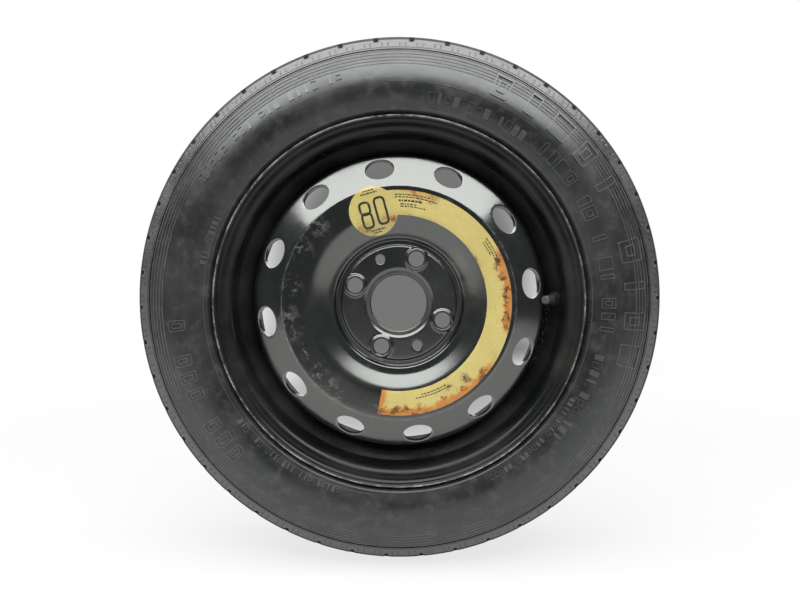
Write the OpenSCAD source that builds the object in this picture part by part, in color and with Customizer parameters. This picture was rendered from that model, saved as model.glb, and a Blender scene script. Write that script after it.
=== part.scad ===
// Temporary spare wheel: a narrow tyre on a pressed steel wheel, with its valve.
// Lengths are millimetres. The wheel stands upright and turns about the Y axis.
// Its outer face looks toward -Y and its origin is the centre of the tyre.
// Profiles are drawn as [z, r]: z runs outboard from the centre plane, r from the axis.

/* [Tyre] */
// Outer diameter over the tread
tyre_od = 566; // [556:1:576]
// Section width over the sidewalls
tyre_w = 135; // [131:0.5:138]
// Radius of the tread's crown across its width
tread_arc_r = 92; // [80:1:130]
// Width of the tread from shoulder to shoulder
tread_w = 84; // [76:1:90]
// Thickness of rubber and cords under the tread
tyre_crown_t = 13; // [10:0.5:16]
// Thickness of the sidewall
tyre_wall_t = 7; // [5:0.5:8]
// Width of each bead from toe to heel
bead_w = 17; // [14:0.5:18]
// Height of each bead above its seat
bead_h = 16; // [12:0.5:18]

/* [Tread pattern] */
// Notches round each shoulder
notch_count = 46; // [36:1:52]
// Width of a notch at its mouth
notch_w = 5.4; // [3:0.2:7]
// Width of a notch at its root
notch_root_w = 3; // [1.5:0.1:4]
// Depth of a notch below the crown's edge
notch_depth = 4.6; // [3:0.1:5.5]
// Angle of the first notch on the outer side
notch_phase = 1.1; // [0:0.1:7]
// Width of a groove that runs round the tread
groove_w = 4.5; // [3:0.1:6]
// Depth of a groove that runs round the tread
groove_depth = 4.2; // [2:0.1:5]
// Distance of the inner pair of grooves from the centre plane
groove_in_z = 9; // [7:0.5:11]
// Distance of the outer pair of grooves from the centre plane
groove_out_z = 25; // [22:0.5:28]
// Width of a cross cut in the ribs of the tread
sipe_w = 1.6; // [1:0.1:2.5]
// Depth of a cross cut in the ribs of the tread
sipe_depth = 3; // [1.5:0.1:4]
// Ribs round each upper sidewall
wall_rib_count = 5; // [3:1:5]
// Height of each rib on the sidewall
wall_rib_h = 0.5; // [0.3:0.1:0.8]

/* [Rim] */
// Width between the flanges, 4 inches
rim_w = 101.6; // [100:0.1:103]
// Diameter at the heel of the bead seat
seat_d = 354.8; // [352:0.1:357]
// Height of the flange above the seat
flange_h = 14.1; // [13:0.1:16]
// Width of the rolled flange outside its face
flange_w = 12.4; // [11.5:0.1:14]
// Thickness of the rolled steel band
rim_t = 2.5; // [2:0.1:3]
// Taper of the bead seats in degrees
seat_taper = 5; // [4:0.5:6]
// Depth of the drop-centre well below the heel of the bead seat
well_depth = 17.4; // [16:0.1:19]
// Slope from the well up to the outboard bead seat, from the wheel's axis
rim_slope = 50; // [46:0.5:54]
// Slope from the well up to the inboard bead seat
rim_slope_in = 48; // [44:0.5:54]

/* [Disc] */
// Thickness of the pressed disc
disc_t = 3.5; // [3:0.1:4]
// Offset of the mounting face from the centre plane
offset_z = 42; // [40:0.5:44]
// Diameter of the centre bore
bore_d = 58.1; // [56:0.1:60]
// Diameter of the bolt circle
pcd = 98; // [96:0.5:100]
// Number of wheel bolts
bolt_count = 4; // [4:1:4]
// Diameter of a bolt hole
bolt_hole_d = 15.2; // [13:0.1:16]
// Largest diameter of a bolt seat
bolt_seat_d = 18.8; // [17:0.1:19.5]
// Diameter of the boss round a bolt hole, at its foot
bolt_boss_d = 25; // [23:0.5:26]
// Height of the boss round a bolt hole
bolt_boss_h = 2.2; // [1:0.1:3]
// Angle of the first bolt hole
bolt_phase = 68.2; // [60:0.1:75]
// Diameter of a locating hole
pin_hole_d = 9.6; // [7:0.1:11]
// Height of the bolt zone above the mounting rings
zone_h = 1.8; // [1:0.1:2.2]
// Reach of the bolt zone inward from the bolt circle
zone_in = 14; // [12:0.5:14.5]
// Reach of the bolt zone outward from the bolt circle
zone_out = 10.5; // [10:0.5:12]
// Width of the outer mounting ring
outer_ring_w = 6; // [5:0.5:8]
// Width of the cone between the disc's crown and the rim
cone_w = 36; // [34:0.5:38]
// Distance of the crown from the centre plane
crown_z = 61.5; // [58:0.5:63]
// Number of round vents
vent_count = 12; // [8:1:14]
// Diameter of a vent
vent_d = 31; // [26:0.5:32]
// Angle of the first vent
vent_phase = 8.3; // [0:0.1:30]
// Inboard end of the disc's skirt from the centre plane
skirt_in_z = 2; // [0:0.5:3]
// Number of weld runs between the disc and the rim
weld_count = 8; // [4:1:10]
// Length of a weld run
weld_len = 42; // [20:1:60]
// Leg of a weld run
weld_leg = 3.2; // [2:0.1:4]

/* [Yellow label] */
// Thickness of the label
label_t = 0.3; // [0.2:0.05:0.6]
// Bare width between the disc's crown and the label's band
label_gap = 6; // [4:0.5:10]
// Width of the label's band
label_w = 25; // [20:0.5:28]
// Angle at which the band starts, under the round field
label_start = -101; // [-110:1:-90]
// Angle at which the band ends
label_end = 100; // [90:1:110]
// Diameter of the round field
field_d = 49.6; // [44:0.5:52]
// Distance of the round field's centre inside the disc's crown
field_in = 24; // [23:0.5:28]
// Angle of the round field
field_a = 105.3; // [100:0.1:110]

/* [Valve] */
// Angle of the valve round the wheel
valve_phase = 1; // [-5:0.5:5]
// Height above the well at which the valve leaves the rim's slope
valve_rise = 10.5; // [9:0.5:11]
// Diameter of the valve hole
valve_hole_d = 11.3; // [11:0.1:11.6]
// Diameter of the rubber foot inside the tyre
foot_d = 19; // [16:0.5:20]
// Thickness of the rubber foot
foot_h = 4.5; // [3:0.5:6]
// Diameter of the rubber bulb outside the rim
bulb_d = 15.2; // [13.5:0.1:16]
// Length of the rubber from the rim's outer face
rubber_len = 9.5; // [8:0.5:13]
// Diameter of the rubber's top
rubber_top_d = 10; // [9:0.1:11]
// Length of the brass stem beyond the rubber
thread_len = 9.5; // [8:0.5:11]
// Outer diameter of the stem's thread
thread_d = 7.7; // [7.4:0.1:8]
// Outer diameter of the stem inside the rubber
stem_d = 6.4; // [6.2:0.1:6.8]
// Diameter of the stem's lower bore
stem_bore_d = 4; // [3.8:0.1:4.2]
// Diameter of the stem's threaded bore
core_thread_d = 5.2; // [5:0.1:5.4]
// Length of the screw plug of the valve core
plug_len = 4.4; // [3:0.1:5]
// Outer diameter of the core's barrel
barrel_d = 3.8; // [3.6:0.1:4]
// Thickness of the core barrel's wall
barrel_wall = 0.4; // [0.3:0.05:0.5]
// Diameter of the core's pin
pin_d = 1.2; // [1:0.05:1.3]
// Diameter of the core pin's head
pin_head_d = 1.8; // [1.6:0.05:2]
// Travel of the core's pin
pin_travel = 1.2; // [0.8:0.1:1.4]
// Wire diameter of the core's spring
wire_d = 0.3; // [0.2:0.05:0.35]
// Turns of the core's spring
spring_turns = 5; // [3:1:6]
// Outer diameter of the valve cap
cap_d = 9.2; // [8.9:0.1:10]
// Length of the valve cap
cap_len = 12.5; // [11:0.5:15]
// Number of ribs round the valve cap
cap_ribs = 20; // [12:1:24]
// Running clearance between sliding pieces
running = 0.05; // [0.02:0.01:0.08]

/* [Hidden] */
$fn = 96;
// Largest turn, in degrees, between two straight steps of a rounded profile
step = 9;
eps = 0.01;

// Places that several pieces share
seat_r = seat_d / 2;
well_r = seat_r - well_depth;
face_z = rim_w / 2;
tyre_r = tyre_od / 2;
well_in_r = well_r - rim_t;
flange_r = seat_r + flange_h;
curl_r = 8;
heel_r = 6;
lip_w = 2.5;
lip_drop = 1.6;
hump_z = face_z - bead_w - 0.8;
hump_h = 0.9;
hump_w = 3.3;
shoulder_z = tread_w / 2;
shoulder_face_w = 9;
shoulder_face_h = 11.5;
crown_r = well_in_r - cone_w;
valve_r = well_in_r + valve_rise;
// Fall of the disc's outer cone for each millimetre of radius
cone_fall = 0.98;
// The vents sit this much farther out than the middle of the cone
vent_shift = 0.8;
vent_r = (crown_r + well_in_r) / 2 + vent_shift;
// Length of a cut that has to pass through any wall of the disc
cut = 30;

function unit(v) = v / norm(v);
function left(v) = [-v[1], v[0]];
function turn(a, b) = a[0] * b[1] - a[1] * b[0];
function spin(v, a) = [v[0] * cos(a) - v[1] * sin(a), v[0] * sin(a) + v[1] * cos(a)];
function flip(pts) = [for (i = [len(pts) - 1:-1:0]) pts[i]];
// The same points on the other side of the centre plane, in the other order
function mirrored(pts) = [for (p = flip(pts)) [-p[0], p[1]]];
function mirrored_path(pts) = [for (p = flip(pts)) [-p[0], p[1], p[2]]];

// A corner of a path, rounded to the radius in its third place
function corner(a, b, c) =
    let (d1 = unit([b[0] - a[0], b[1] - a[1]]),
        d2 = unit([c[0] - b[0], c[1] - b[1]]),
        s = sign(turn(d1, d2)),
        swing = acos(max(-1, min(1, d1 * d2))),
        n = max(1, ceil(swing / step)),
        p = [b[0], b[1]] - d1 * b[2] * tan(swing / 2),
        m = p + left(d1) * s * b[2])
    b[2] == 0 || swing < 0.5 ? [[b[0], b[1]]]
    : [for (i = [0:n]) m + spin(p - m, s * swing * i / n)];

// Points of a path whose corners are [z, r, radius]
function path(c) = [
    [c[0][0], c[0][1]],
    for (i = [1:1:len(c) - 2]) each corner(c[i - 1], c[i], c[i + 1]),
    [c[len(c) - 1][0], c[len(c) - 1][1]]];

// The same path moved sideways by t, to its left, with its roundings kept parallel
function moved(c, t) = [for (i = [0:len(c) - 1])
    let (last = len(c) - 1,
        i1 = max(1, i),
        i2 = min(last - 1, i),
        d1 = unit([c[i1][0] - c[i1 - 1][0], c[i1][1] - c[i1 - 1][1]]),
        d2 = unit([c[i2 + 1][0] - c[i2][0], c[i2 + 1][1] - c[i2][1]]),
        n1 = left(i == last ? d2 : d1),
        n2 = left(i == 0 ? d1 : d2),
        p = [c[i][0], c[i][1]] + (n1 + n2) * t / (1 + n1 * n2))
    [p[0], p[1], c[i][2] == 0 ? 0 : max(0.4, c[i][2] - sign(turn(d1, d2)) * t)]];

// The same path with each rounding no larger than its two neighbours leave room for
function swing_at(a, b, c) = acos(max(-1, min(1,
    unit([b[0] - a[0], b[1] - a[1]]) * unit([c[0] - b[0], c[1] - b[1]]))));
function span(a, b) = norm([b[0] - a[0], b[1] - a[1]]);
function plain_end(c, i) = i == 0 || i == len(c) - 1 || c[i][2] == 0;
function room_to(c, i, j) = (plain_end(c, j) ? 0.98 : 0.49) * span(c[i], c[j]);
function fitted(c) = [for (i = [0:len(c) - 1])
    plain_end(c, i) ? c[i]
    : let (room = min(room_to(c, i, i - 1), room_to(c, i, i + 1)),
          bend = max(1, swing_at(c[i - 1], c[i], c[i + 1])))
      [c[i][0], c[i][1], min(c[i][2], room / tan(bend / 2))]];

// Turns a profile of [z, r] points about the wheel's axis, z outboard
module turned(pts, angle = 360) {
    rotate_extrude(angle = angle, $fn = 180)
        polygon([for (p = pts) [p[1], p[0]]]);
}

// Sets a piece modelled about Z, outboard up, into the wheel's own frame
module on_wheel() {
    rotate([90, 0, 0]) children();
}

// The tyre side of the rim's outboard half, from the hump to the flange's edge
function seat_line(z) = seat_r - (face_z - z) * tan(seat_taper);
flange_corners = [
    [hump_z, seat_line(hump_z), 2],
    [face_z, seat_r, heel_r],
    [face_z, flange_r, curl_r],
    [face_z + flange_w - lip_w, flange_r, 4],
    [face_z + flange_w, flange_r - lip_drop, 0]];

// The whole tyre side of the rim, from the inboard flange to the outboard one
slope_top = [hump_z - 2 * hump_w - 1.8, seat_line(hump_z) - 1];
well_out_z = slope_top[0] - (slope_top[1] - well_r) / tan(rim_slope);
well_in_z = slope_top[0] - (slope_top[1] - well_r) / tan(rim_slope_in);
function rim_side(well_z) = concat([
    [well_z, well_r, 8],
    [slope_top[0], slope_top[1], 5],
    [hump_z - 2 * hump_w, seat_line(hump_z) - 0.4, 2],
    [hump_z - hump_w, seat_line(hump_z) + hump_h, 4]], flange_corners);
rim_corners = concat(mirrored_path(rim_side(well_in_z)), rim_side(well_out_z));

// Where the tyre lies against the flange before its wall turns away
bead_contact = [for (p = path(flange_corners))
    if (p[0] >= face_z - bead_w && p[0] < face_z + 0.75 * curl_r) p];
toe = [face_z - bead_w, seat_line(face_z - bead_w)];

function crown_at(z) = tyre_r - tread_arc_r + sqrt(pow(tread_arc_r, 2) - z * z);
crown_steps = 7;
crown_line = [for (i = [0:crown_steps])
    let (z = shoulder_z * (1 - i / crown_steps)) [z, crown_at(z)]];
shoulder = [shoulder_z, crown_at(shoulder_z)];
shoulder_foot = shoulder + [shoulder_face_w, -shoulder_face_h];

// Outer line of the sidewall, from the flange up to the foot of the shoulder's face
wall_round_r = 43.5;
// What the rounding takes off the widest place of the wall
wall_round_off = 4.4;
wall_h = shoulder_foot[1] - flange_r;
bulge_z = tyre_w / 2 + wall_round_off;
bulge_r = flange_r + 0.45 * wall_h;
wall_end = [shoulder_foot[0] + 2, shoulder_foot[1] - 3.5];
wall_up = unit(wall_end - [bulge_z, bulge_r]);

// Fine ribs along the top of the sidewall
rib_pitch = 4.2;
rib_edge = 1.4;
rib_foot = 0.9;
ribs_reach = rib_edge + rib_pitch * (wall_rib_count - 1) + rib_foot;
rib_start = wall_end - wall_up * (ribs_reach + 0.1);
function wall_rib(i) =
    let (n = [wall_up[1], -wall_up[0]],
        p = wall_end - wall_up * (rib_edge + rib_pitch * (wall_rib_count - 1 - i)))
    [p - wall_up * rib_foot, p - wall_up * 0.35 + n * wall_rib_h,
        p + wall_up * 0.35 + n * wall_rib_h, p + wall_up * rib_foot];
wall_line = path(fitted([
    [face_z + flange_w - 1.4, flange_r + 4.4, 0],
    [bulge_z, bulge_r, wall_round_r],
    [rib_start[0], rib_start[1], 0],
    [wall_end[0], wall_end[1], 0]]));
outer_wall = concat(
    [for (i = [0:len(wall_line) - 2]) wall_line[i]],
    [for (i = [0:wall_rib_count - 1]) each wall_rib(i)],
    [wall_end]);

// Inner line of the tyre, from the crown's middle past the wall's inside to the bead's toe
function beside(pts, t) = [for (i = [0:len(pts) - 1])
    let (a = pts[max(0, i - 1)],
        b = pts[min(len(pts) - 1, i + 1)])
    pts[i] + left(unit(b - a)) * t];
inner_wall = flip(beside(wall_line, tyre_wall_t));
crown_in_r = tyre_r - tyre_crown_t;
inner_half = path(fitted(concat(
    [[0, crown_in_r, 0],
    [0.43 * shoulder_z, crown_in_r, 0.6 * tread_w],
    [inner_wall[0][0], inner_wall[0][1], 2 * tyre_wall_t]],
    [for (i = [1:len(inner_wall) - 2]) [inner_wall[i][0], inner_wall[i][1], 0]],
    [[face_z - 0.3, seat_r + bead_h + 6, 16],
    [toe[0] + 3.5, toe[1] + 7, 5],
    [toe[0], toe[1], 0]])));
outer_half = concat(bead_contact, outer_wall, [shoulder_foot], crown_line);
tyre_profile = concat(
    [toe], outer_half,
    mirrored(concat([toe], [for (i = [0:len(outer_half) - 2]) outer_half[i]])),
    mirrored([for (i = [1:len(inner_half) - 2]) inner_half[i]]),
    [for (i = [0:len(inner_half) - 2]) inner_half[i]]);

// One notch across a shoulder, wide at its mouth
module notch() {
    root_r = shoulder[1] - notch_depth;
    mouth_r = tyre_r + 1;
    translate([0, 0, groove_out_z + groove_w / 2 + 3])
        linear_extrude(height = shoulder_z)
            polygon([
                [root_r, -notch_root_w / 2], [mouth_r, -notch_w / 2],
                [mouth_r, notch_w / 2], [root_r, notch_root_w / 2]]);
}

// One cross cut in a rib of the tread
module sipe(z0, z1) {
    translate([crown_at(z1) - sipe_depth, -sipe_w / 2, z0])
        cube([sipe_depth + 8, sipe_w, z1 - z0]);
}

module tread_cuts() {
    pitch = 360 / notch_count;
    for (i = [0:notch_count - 1]) {
        rotate([0, 0, notch_phase + pitch * i]) notch();
        rotate([0, 0, notch_phase + pitch * (i + 0.5)]) mirror([0, 0, 1]) notch();
        rotate([0, 0, notch_phase + pitch * (i + 0.25)])
            sipe(groove_in_z + groove_w / 2 - 1, groove_out_z - groove_w / 2 - 2.5);
        rotate([0, 0, notch_phase + pitch * (i + 0.75)])
            mirror([0, 0, 1]) sipe(groove_in_z + groove_w / 2 - 1, groove_out_z - groove_w / 2 - 2.5);
    }
}

module tyre() {
    color("#2b2c2d") on_wheel() difference() {
        rotate_extrude($fn = 180) difference() {
            polygon([for (p = tyre_profile) [p[1], p[0]]]);
            for (z = [-groove_out_z, -groove_in_z, groove_in_z, groove_out_z])
                translate([crown_at(z) - groove_depth, z - groove_w / 2])
                    square([groove_depth + 5, groove_w]);
        }
        tread_cuts();
    }
}

// The rim's band without its valve hole
module rim_band() {
    turned(concat(path(rim_corners), flip(path(moved(rim_corners, -rim_t)))));
}

// Sets a piece modelled about Z onto the valve's axis, which leaves the rim's slope
module on_valve() {
    run = (valve_r - well_in_r) / tan(rim_slope);
    base_z = well_out_z + rim_t * tan(rim_slope / 2) + run;
    rotate([0, 0, valve_phase]) translate([valve_r, 0, base_z])
        rotate([0, rim_slope - 90, 0]) children();
}

module rim() {
    color("#17191a") on_wheel() difference() {
        rim_band();
        on_valve() cylinder(d = valve_hole_d, h = 6 * rim_t, center = true);
    }
}

// Front of the disc, from the bore out over the crown and down to the skirt's end
inner_ring_r = pcd / 2 - zone_in;
zone_r = pcd / 2 + zone_out;
outer_ring_r = zone_r + outer_ring_w;
ring_z = offset_z + disc_t;
cone_foot_z = crown_z - (well_in_r - crown_r) * cone_fall;
bowl_z = ring_z + 5;
disc_corners = [
    [ring_z, bore_d / 2, 0],
    [ring_z, inner_ring_r - 1, 1.5],
    [ring_z + zone_h, inner_ring_r + 1.5, 2],
    [ring_z + zone_h, zone_r - 1, 2],
    [ring_z, zone_r + 1.5, 1.2],
    [ring_z, outer_ring_r, 1.2],
    [bowl_z - 0.6, outer_ring_r + 2.4, 2],
    [bowl_z, outer_ring_r + 8, 12],
    [crown_z - 1.6, outer_ring_r + 25, 22],
    [crown_z, crown_r - 1, 6],
    [cone_foot_z, well_in_r, 15],
    [-skirt_in_z, well_in_r, 0]];
front_line = path(disc_corners);

// Places of the round holes in the hub
module at_bolts() {
    for (i = [0:bolt_count - 1])
        rotate([0, 0, bolt_phase + 360 / bolt_count * i]) translate([pcd / 2, 0, 0]) children();
}

module wheel_disc() {
    boss_top = ring_z + zone_h + bolt_boss_h;
    seat_depth = (bolt_seat_d - bolt_hole_d) / 2 / tan(30);
    cone_len = norm([well_in_r - crown_r, crown_z - cone_foot_z]);
    cone_angle = atan2(crown_z - cone_foot_z, well_in_r - crown_r);
    color("#1b1e1f") on_wheel() difference() {
        union() {
            turned(concat(front_line, flip(path(moved(disc_corners, disc_t)))));
            at_bolts() translate([0, 0, ring_z])
                cylinder(d1 = bolt_boss_d, d2 = bolt_boss_d - 5, h = zone_h + bolt_boss_h);
        }
        at_bolts() {
            translate([0, 0, offset_z - eps]) cylinder(d = bolt_hole_d, h = cut);
            translate([0, 0, boss_top - seat_depth])
                cylinder(d1 = bolt_hole_d, d2 = bolt_seat_d, h = seat_depth);
            translate([0, 0, boss_top - eps]) cylinder(d = bolt_seat_d, h = cut);
        }
        for (a = [45, 225]) rotate([0, 0, bolt_phase + a])
            translate([pcd / 2, 0, offset_z]) cylinder(d = pin_hole_d, h = cut, center = true);
        for (i = [0:vent_count - 1])
            rotate([0, 0, vent_phase + 360 / vent_count * i])
                translate([vent_r, 0, crown_z - (vent_r - crown_r) * cone_fall])
                    rotate([0, cone_angle, 0])
                        cylinder(d = vent_d, h = cut, center = true);
    }
}

// Fillet welds between the end of the disc's skirt and the rim's well
module disc_welds() {
    sweep = weld_len / well_in_r * 180 / PI;
    color("#3a3d3e") on_wheel() for (i = [0:weld_count - 1])
        rotate([0, 0, 360 / weld_count * (i + 0.5) - sweep / 2])
            turned([
                [-skirt_in_z, well_in_r], [-skirt_in_z, well_in_r - weld_leg],
                [-skirt_in_z - weld_leg * 0.62, well_in_r - weld_leg * 0.62],
                [-skirt_in_z - weld_leg, well_in_r]], sweep);
}

// The disc's front between two radii, cut out of its own line
function front_at(r) = [for (i = [1:len(front_line) - 1])
    let (a = front_line[i - 1], b = front_line[i])
    if (a[1] <= r && b[1] > r) a + (b - a) * (r - a[1]) / (b[1] - a[1])][0];
function front_strip(r0, r1) = concat(
    [front_at(r0)], [for (p = front_line) if (p[1] > r0 && p[1] < r1) p], [front_at(r1)]);
function raised(pts, t) = [for (p = pts) p + [t, 0]];

// Outline of the label, seen along the wheel's axis
label_out_r = crown_r - label_gap;
label_in_r = label_out_r - label_w;
field_r = crown_r - field_in;
module label_outline() {
    middle = (label_end + label_start + 360) / 2;
    reach = 2 * label_out_r;
    difference() {
        circle(r = label_out_r, $fn = 180);
        circle(r = label_in_r, $fn = 180);
        polygon([
            [0, 0], [reach * cos(label_end), reach * sin(label_end)],
            [reach * cos(middle), reach * sin(middle)],
            [reach * cos(label_start), reach * sin(label_start)]]);
    }
    rotate([0, 0, field_a]) translate([field_r, 0]) circle(d = field_d);
}

module yellow_label() {
    strip = front_strip(
        min(label_in_r, field_r - field_d / 2) - 2,
        min(max(label_out_r, field_r + field_d / 2) + 2, crown_r - 0.5));
    color("#d9cf86") on_wheel() intersection() {
        turned(concat(strip, flip(raised(strip, label_t))));
        linear_extrude(height = crown_z + cut) label_outline();
    }
}

// Stations along the valve's axis, counted outward from the rim's inner face
rubber_top = rubber_len;
stem_top = rubber_top + thread_len;
stem_foot = -rim_t - foot_h - 2;
core_top = stem_top - 0.6;
plug_foot = core_top - plug_len;
collar_h = 0.8;
collar_foot = plug_foot - 0.3 - collar_h;
// The spring's room is its closed length, the pin's travel and some to spare
spring_spare = 1.2;
spring_room = spring_turns * wire_d + pin_travel + spring_spare;
spring_foot = collar_foot - spring_room;
barrel_floor = 1;
barrel_foot = spring_foot - barrel_floor;
barrel_len = plug_foot - barrel_foot;
taper_foot = barrel_foot + 1.2;
taper_top = taper_foot + 1.4;
collar_d = barrel_d - 2 * barrel_wall - 4 * running;
cup_d = stem_bore_d - 0.8;
seal_h = 0.9;
cup_h = 2.4;

module valve_rubber() {
    neck_r = valve_hole_d / 2;
    color("#202122") on_wheel() difference() {
        union() {
            on_valve() translate([0, 0, -rim_t - foot_h])
                cylinder(r = neck_r, h = rim_t + foot_h + 1);
            difference() {
                on_valve() rotate_extrude() polygon([
                    [0, -rim_t - foot_h], [foot_d / 2 - 2.5, -rim_t - foot_h],
                    [foot_d / 2, -rim_t - 1.2], [foot_d / 2, -rim_t / 2],
                    [bulb_d / 2, -rim_t / 2], [bulb_d / 2, 1.6],
                    [bulb_d / 2 - 0.8, 3], [rubber_top_d / 2 + 0.6, 6.2],
                    [rubber_top_d / 2, rubber_top - 1], [rubber_top_d / 2 - 0.8, rubber_top],
                    [0, rubber_top]]);
                rim_band();
            }
        }
        on_valve() stem_outline();
    }
}

// The outside of the brass stem, with the barbs that hold the rubber
module stem_outline() {
    stem_r = stem_d / 2;
    rotate_extrude() polygon([
        [0, stem_foot], [stem_r + 0.7, stem_foot], [stem_r + 0.7, stem_foot + 1.6],
        [stem_r, stem_foot + 2.6], [stem_r, -0.5], [stem_r - 0.5, 0], [stem_r - 0.5, 1],
        [stem_r, 1.5], [stem_r, 3.5], [stem_r - 0.5, 4], [stem_r - 0.5, 5],
        [stem_r, 5.5], [stem_r, rubber_top - 1.5], [thread_d / 2, rubber_top - 0.8],
        [thread_d / 2, stem_top - 0.5], [thread_d / 2 - 0.5, stem_top], [0, stem_top]]);
}

module valve_stem() {
    color("#b08d4a") on_wheel() on_valve() difference() {
        stem_outline();
        translate([0, 0, stem_foot - 1]) cylinder(d = stem_bore_d, h = stem_top - stem_foot + 2);
        translate([0, 0, taper_foot])
            cylinder(d1 = stem_bore_d, d2 = core_thread_d, h = taper_top - taper_foot);
        translate([0, 0, taper_top - eps])
            cylinder(d = core_thread_d, h = stem_top - taper_top + 1);
    }
}

module core_plug() {
    color("#c7a35a") on_wheel() on_valve() difference() {
        translate([0, 0, plug_foot]) cylinder(d = core_thread_d, h = plug_len);
        translate([0, 0, plug_foot - 1]) cylinder(d = pin_head_d + 2 * running, h = plug_len + 2);
        for (s = [-1, 1])
            translate([s * core_thread_d / 2 - 1, -3, plug_foot + 2]) cube([2, 6, plug_len]);
    }
}

module core_barrel() {
    bore = barrel_d - 2 * barrel_wall;
    color("#c9ccd0") on_wheel() on_valve() difference() {
        translate([0, 0, barrel_foot]) cylinder(d = barrel_d, h = barrel_len);
        translate([0, 0, spring_foot]) cylinder(d = bore, h = barrel_len);
        translate([0, 0, barrel_foot - 1]) cylinder(d = pin_d + 2 * running, h = barrel_len);
    }
}

// The ring that seals the barrel in the stem's taper
module core_gasket() {
    color("#b5432f") on_wheel() on_valve() difference() {
        translate([0, 0, taper_foot])
            cylinder(d1 = stem_bore_d, d2 = core_thread_d, h = taper_top - taper_foot);
        translate([0, 0, taper_foot - 1]) cylinder(d = barrel_d, h = 4);
    }
}

// Points of a coil of wire about Z
spring_top = collar_foot - 0.02;
coil_r = (barrel_d / 2 - barrel_wall + pin_d / 2) / 2;
coil_sides = 8;
coil_steps = 14;
function coil_ring(a, z) = [for (k = [0:coil_sides - 1])
    let (b = 360 / coil_sides * k, q = coil_r + wire_d / 2 * cos(b))
    [q * cos(a), q * sin(a), z + wire_d / 2 * sin(b)]];

module core_spring() {
    n = spring_turns * coil_steps;
    z0 = spring_foot + wire_d / 2 + 0.02;
    rise = spring_top - wire_d / 2 - z0;
    rings = [for (i = [0:n]) coil_ring(360 * spring_turns * i / n, z0 + rise * i / n)];
    color("#9aa0a6") on_wheel() on_valve() polyhedron(
        points = [for (ring = rings) each ring],
        faces = concat(
            [[for (k = [0:coil_sides - 1]) k]],
            [for (i = [0:n - 1]) for (k = [0:coil_sides - 1])
                let (a = i * coil_sides, b = a + coil_sides, m = (k + 1) % coil_sides)
                [a + k, b + k, b + m, a + m]],
            [[for (k = [coil_sides - 1:-1:0]) n * coil_sides + k]]));
}

module core_pin() {
    color("#c7a35a") on_wheel() on_valve() union() {
        translate([0, 0, barrel_foot - cup_h - 0.6])
            cylinder(d = pin_d, h = collar_foot - barrel_foot + cup_h + 1);
        translate([0, 0, collar_foot]) cylinder(d = collar_d, h = collar_h);
        translate([0, 0, collar_foot + collar_h - eps])
            cylinder(d = pin_head_d, h = stem_top - 0.3 - collar_foot - collar_h);
    }
}

// The cup on the pin's foot and the rubber seal it carries
module core_cup() {
    color("#c7a35a") on_wheel() on_valve() difference() {
        translate([0, 0, barrel_foot - cup_h]) cylinder(d = cup_d, h = cup_h - seal_h / 2);
        translate([0, 0, barrel_foot - seal_h]) cylinder(d = cup_d - 0.5, h = seal_h + 1);
        translate([0, 0, barrel_foot - cup_h - 1]) cylinder(d = pin_d, h = cup_h + 2);
    }
}

module core_seal() {
    color("#26282a") on_wheel() on_valve() difference() {
        translate([0, 0, barrel_foot - seal_h]) cylinder(d = cup_d - 0.5, h = seal_h);
        translate([0, 0, barrel_foot - seal_h - 1]) cylinder(d = pin_d, h = seal_h + 2);
    }
}

module valve_cap() {
    cap_foot = rubber_top + 0.3;
    cap_bore = thread_d + 2 * running;
    body_d = cap_d - 0.6;
    edge = 0.6;
    color("#1e2021") on_wheel() on_valve() difference() {
        union() {
            translate([0, 0, cap_foot]) cylinder(d = body_d, h = cap_len - edge);
            translate([0, 0, cap_foot + cap_len - edge])
                cylinder(d1 = body_d, d2 = body_d - 2 * edge, h = edge);
            for (i = [0:cap_ribs - 1]) rotate([0, 0, 360 / cap_ribs * i])
                translate([cap_d / 2 - 0.7, -0.35, cap_foot + 0.8])
                    cube([0.7, 0.7, cap_len - 2.6]);
        }
        translate([0, 0, cap_foot - 1]) cylinder(d = cap_bore, h = thread_len + 1);
    }
}

tyre();
rim();
wheel_disc();
disc_welds();
yellow_label();
valve_rubber();
valve_stem();
core_plug();
core_barrel();
core_gasket();
core_spring();
core_pin();
core_cup();
core_seal();
valve_cap();
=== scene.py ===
"""The looks of a temporary spare wheel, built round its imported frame."""
import math
import random

import bmesh
import bpy
import numpy as np
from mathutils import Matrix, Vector
from mathutils.geometry import delaunay_2d_cdt


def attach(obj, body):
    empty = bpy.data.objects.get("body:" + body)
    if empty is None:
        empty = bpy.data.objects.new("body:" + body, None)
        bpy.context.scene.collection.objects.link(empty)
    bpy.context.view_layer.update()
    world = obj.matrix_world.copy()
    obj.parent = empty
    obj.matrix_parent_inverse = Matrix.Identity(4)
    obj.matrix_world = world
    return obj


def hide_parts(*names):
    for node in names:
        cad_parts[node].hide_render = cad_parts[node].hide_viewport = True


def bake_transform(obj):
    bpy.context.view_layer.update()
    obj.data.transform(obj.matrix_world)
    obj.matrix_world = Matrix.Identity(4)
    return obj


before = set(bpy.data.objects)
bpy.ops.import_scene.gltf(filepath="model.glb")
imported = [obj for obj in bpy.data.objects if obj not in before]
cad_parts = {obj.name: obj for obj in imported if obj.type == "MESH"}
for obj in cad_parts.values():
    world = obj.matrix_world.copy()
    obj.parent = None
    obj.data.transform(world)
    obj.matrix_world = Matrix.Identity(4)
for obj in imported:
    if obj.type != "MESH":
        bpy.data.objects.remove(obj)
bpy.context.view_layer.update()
MM = 0.001

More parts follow.
